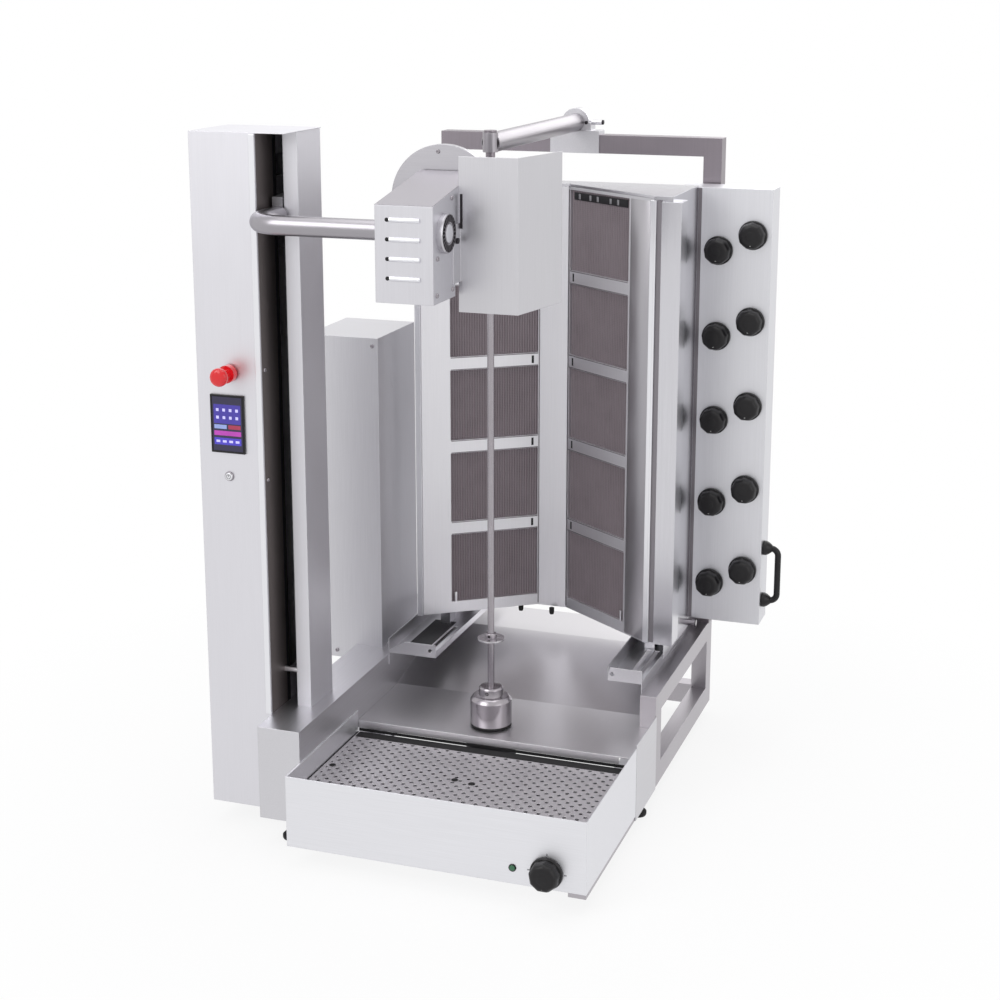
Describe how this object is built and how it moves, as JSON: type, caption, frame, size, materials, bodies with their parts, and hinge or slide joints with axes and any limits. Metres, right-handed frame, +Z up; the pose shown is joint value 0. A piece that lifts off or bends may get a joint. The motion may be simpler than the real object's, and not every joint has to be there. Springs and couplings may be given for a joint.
{
  "type": "doner kebab grill",
  "caption": "Gas doner kebab grill with upright burner rows in a V, a driven spit, a cutting head on a lift column and a heated meat drawer.",
  "frame": {"origin": "centre of the footprint box, on the surface the feet stand on", "axes": "+X to the right as the cook faces the grill, +Y to the back, +Z up"},
  "size_m": [0.872, 0.9158, 1.217],
  "materials": {
    "steel_sheet": "brushed stainless sheet",
    "steel_tube": "drawn stainless tube",
    "painted_sheet": "light grey powder coat",
    "rubber": "black moulded rubber",
    "ground_bar": "ground bar",
    "cast_alloy": "cast and machined",
    "motor_paint": "dark motor paint",
    "black_plastic": "black moulded plastic",
    "red_plastic": "red moulded plastic",
    "lamp_lens": "green lens",
    "screen_glass": "dark touch glass",
    "ceramic": "heat resistant mesh over ceramic",
    "brass": "machined brass",
    "blade_steel": "ground knife steel"
  },
  "bodies": {
    "base": {"side_frame": "steel_tube", "console_box": "steel_sheet", "side_panel": "steel_sheet", "floor_plate": "steel_sheet", "feet": "rubber", "runner_channels": "steel_sheet", "column_cover": "painted_sheet", "column_upright": "steel_sheet", "tie_rod": "ground_bar", "slot_back_panel": "black_plastic", "guide_rods": "ground_bar", "lift_motor": "motor_paint", "touch_screen": "screen_glass", "electrical_cabinet": "steel_sheet", "cable_gland": "black_plastic", "burner_rails": "steel_sheet", "mast": "steel_tube", "clamp_block": "cast_alloy", "top_arm": "steel_tube", "spit_motor": "motor_paint"},
    "lift_carriage": {"carriage": "cast_alloy", "arm_tube": "steel_tube"},
    "cutter_head": {"head_housing": "painted_sheet", "flange_bearing": "black_plastic", "blade_motor": "motor_paint", "blade_guard": "steel_sheet", "blade_shield": "steel_sheet"},
    "cutter_blade": {"blade": "blade_steel"},
    "screw": {"lead_screw": "ground_bar"},
    "spit": {"spit_rod": "ground_bar", "meat_disc": "steel_sheet", "drive_hub": "steel_tube"},
    "burner": {"burner_housing": "steel_sheet", "burner_frames": "painted_sheet", "ceramic_plaques": "ceramic", "apex_post": "steel_sheet", "control_box": "painted_sheet", "gas_manifold": "brass", "pull_handle": "black_plastic"},
    "rollers": {"roller_axle": "ground_bar"},
    "drawer": {"drawer_body": "painted_sheet", "heating_element": "steel_tube", "pilot_lamp": "lamp_lens", "drawer_runners": "steel_sheet"},
    "drip_plate": {"perforated_plate": "steel_sheet"},
    "heat_knob": {"heat_thermostat_knob": "black_plastic"},
    "stop_shank": {"stop_stem": "red_plastic"},
    "stop_head": {"stop_button": "red_plastic"},
    "start_key": {"start_button": "steel_sheet"},
    "steady_pin": {"top_pin": "steel_tube"},
    "valve_knob_1": {"gas_knob_1": "black_plastic"},
    "valve_knob_2": {"gas_knob_2": "black_plastic"},
    "valve_knob_3": {"gas_knob_3": "black_plastic"},
    "valve_knob_4": {"gas_knob_4": "black_plastic"},
    "valve_knob_5": {"gas_knob_5": "black_plastic"},
    "valve_knob_6": {"gas_knob_6": "black_plastic"},
    "valve_knob_7": {"gas_knob_7": "black_plastic"},
    "valve_knob_8": {"gas_knob_8": "black_plastic"},
    "valve_knob_9": {"gas_knob_9": "black_plastic"},
    "valve_knob_10": {"gas_knob_10": "black_plastic"}
  },
  "joints": [
    {"name": "cutter_lift", "type": "slide", "parent": "base", "child": "lift_carriage", "axis": [0, 0, 1], "range_m": [-0.72, 0]},
    {"name": "screw_spin", "type": "hinge", "parent": "base", "child": "screw", "pos_m": [-0.37665, -0.22243, 0.637], "axis": [0, 0, 1], "range_deg": [-12970, 0]},
    {"name": "head_tilt", "type": "hinge", "parent": "lift_carriage", "child": "cutter_head", "pos_m": [-0.014, -0.3851, 1.079], "axis": [1, 0, 0], "range_deg": [-15, 15]},
    {"name": "blade_spin", "type": "hinge", "parent": "cutter_head", "child": "cutter_blade", "pos_m": [-0.024, -0.2251, 1.11], "axis": [0, 1, 0], "continuous": true},
    {"name": "spit_spin", "type": "hinge", "parent": "base", "child": "spit", "pos_m": [-0.003, -0.0661, 0.337], "axis": [0, 0, 1], "continuous": true},
    {"name": "burner_slide", "type": "slide", "parent": "base", "child": "burner", "axis": [0, -1, 0], "range_m": [0, 0.11]},
    {"name": "roller_spin", "type": "hinge", "parent": "burner", "child": "rollers", "pos_m": [-0.003, 0.3349, 0.2345], "axis": [1, 0, 0], "range_deg": [0, 531]},
    {"name": "drawer_slide", "type": "slide", "parent": "base", "child": "drawer", "axis": [0, -1, 0], "range_m": [0, 0.25]},
    {"name": "plate_lift", "type": "slide", "parent": "drawer", "child": "drip_plate", "axis": [0, 0, 1], "range_m": [0, 0.15]},
    {"name": "thermostat_turn", "type": "hinge", "parent": "drawer", "child": "heat_knob", "pos_m": [0.22, -0.4301, 0.066], "axis": [0, -1, 0], "range_deg": [-270, 0]},
    {"name": "valve_turn_1", "type": "hinge", "parent": "burner", "child": "valve_knob_1", "pos_m": [0.302, 0.3449, 0.318], "axis": [0, -1, 0], "range_deg": [0, 180]},
    {"name": "valve_turn_2", "type": "hinge", "parent": "burner", "child": "valve_knob_2", "pos_m": [0.302, 0.3449, 0.48], "axis": [0, -1, 0], "range_deg": [0, 180]},
    {"name": "valve_turn_3", "type": "hinge", "parent": "burner", "child": "valve_knob_3", "pos_m": [0.302, 0.3449, 0.642], "axis": [0, -1, 0], "range_deg": [0, 180]},
    {"name": "valve_turn_4", "type": "hinge", "parent": "burner", "child": "valve_knob_4", "pos_m": [0.302, 0.3449, 0.804], "axis": [0, -1, 0], "range_deg": [0, 180]},
    {"name": "valve_turn_5", "type": "hinge", "parent": "burner", "child": "valve_knob_5", "pos_m": [0.302, 0.3449, 0.966], "axis": [0, -1, 0], "range_deg": [0, 180]},
    {"name": "valve_turn_6", "type": "hinge", "parent": "burner", "child": "valve_knob_6", "pos_m": [0.366, 0.3449, 0.349], "axis": [0, -1, 0], "range_deg": [0, 180]},
    {"name": "valve_turn_7", "type": "hinge", "parent": "burner", "child": "valve_knob_7", "pos_m": [0.366, 0.3449, 0.511], "axis": [0, -1, 0], "range_deg": [0, 180]},
    {"name": "valve_turn_8", "type": "hinge", "parent": "burner", "child": "valve_knob_8", "pos_m": [0.366, 0.3449, 0.673], "axis": [0, -1, 0], "range_deg": [0, 180]},
    {"name": "valve_turn_9", "type": "hinge", "parent": "burner", "child": "valve_knob_9", "pos_m": [0.366, 0.3449, 0.835], "axis": [0, -1, 0], "range_deg": [0, 180]},
    {"name": "valve_turn_10", "type": "hinge", "parent": "burner", "child": "valve_knob_10", "pos_m": [0.366, 0.3449, 0.997], "axis": [0, -1, 0], "range_deg": [0, 180]},
    {"name": "stop_push", "type": "slide", "parent": "base", "child": "stop_shank", "axis": [0, 1, 0], "range_m": [0, 0.004]},
    {"name": "stop_twist", "type": "hinge", "parent": "stop_shank", "child": "stop_head", "pos_m": [-0.3744, -0.3301, 0.819], "axis": [0, -1, 0], "range_deg": [-30, 0]},
    {"name": "start_push", "type": "slide", "parent": "base", "child": "start_key", "axis": [0, 1, 0], "range_m": [0, 0.003], "stiffness_N_per_m": 300},
    {"name": "pin_lift", "type": "slide", "parent": "base", "child": "steady_pin", "axis": [0, 0, 1], "range_m": [0, 0.03]}
  ],
  "couplings": [
    {"joint": "screw_spin", "follows": "cutter_lift", "rad_per_m": 314.16},
    {"joint": "roller_spin", "follows": "burner_slide", "rad_per_m": 84.034}
  ]
}
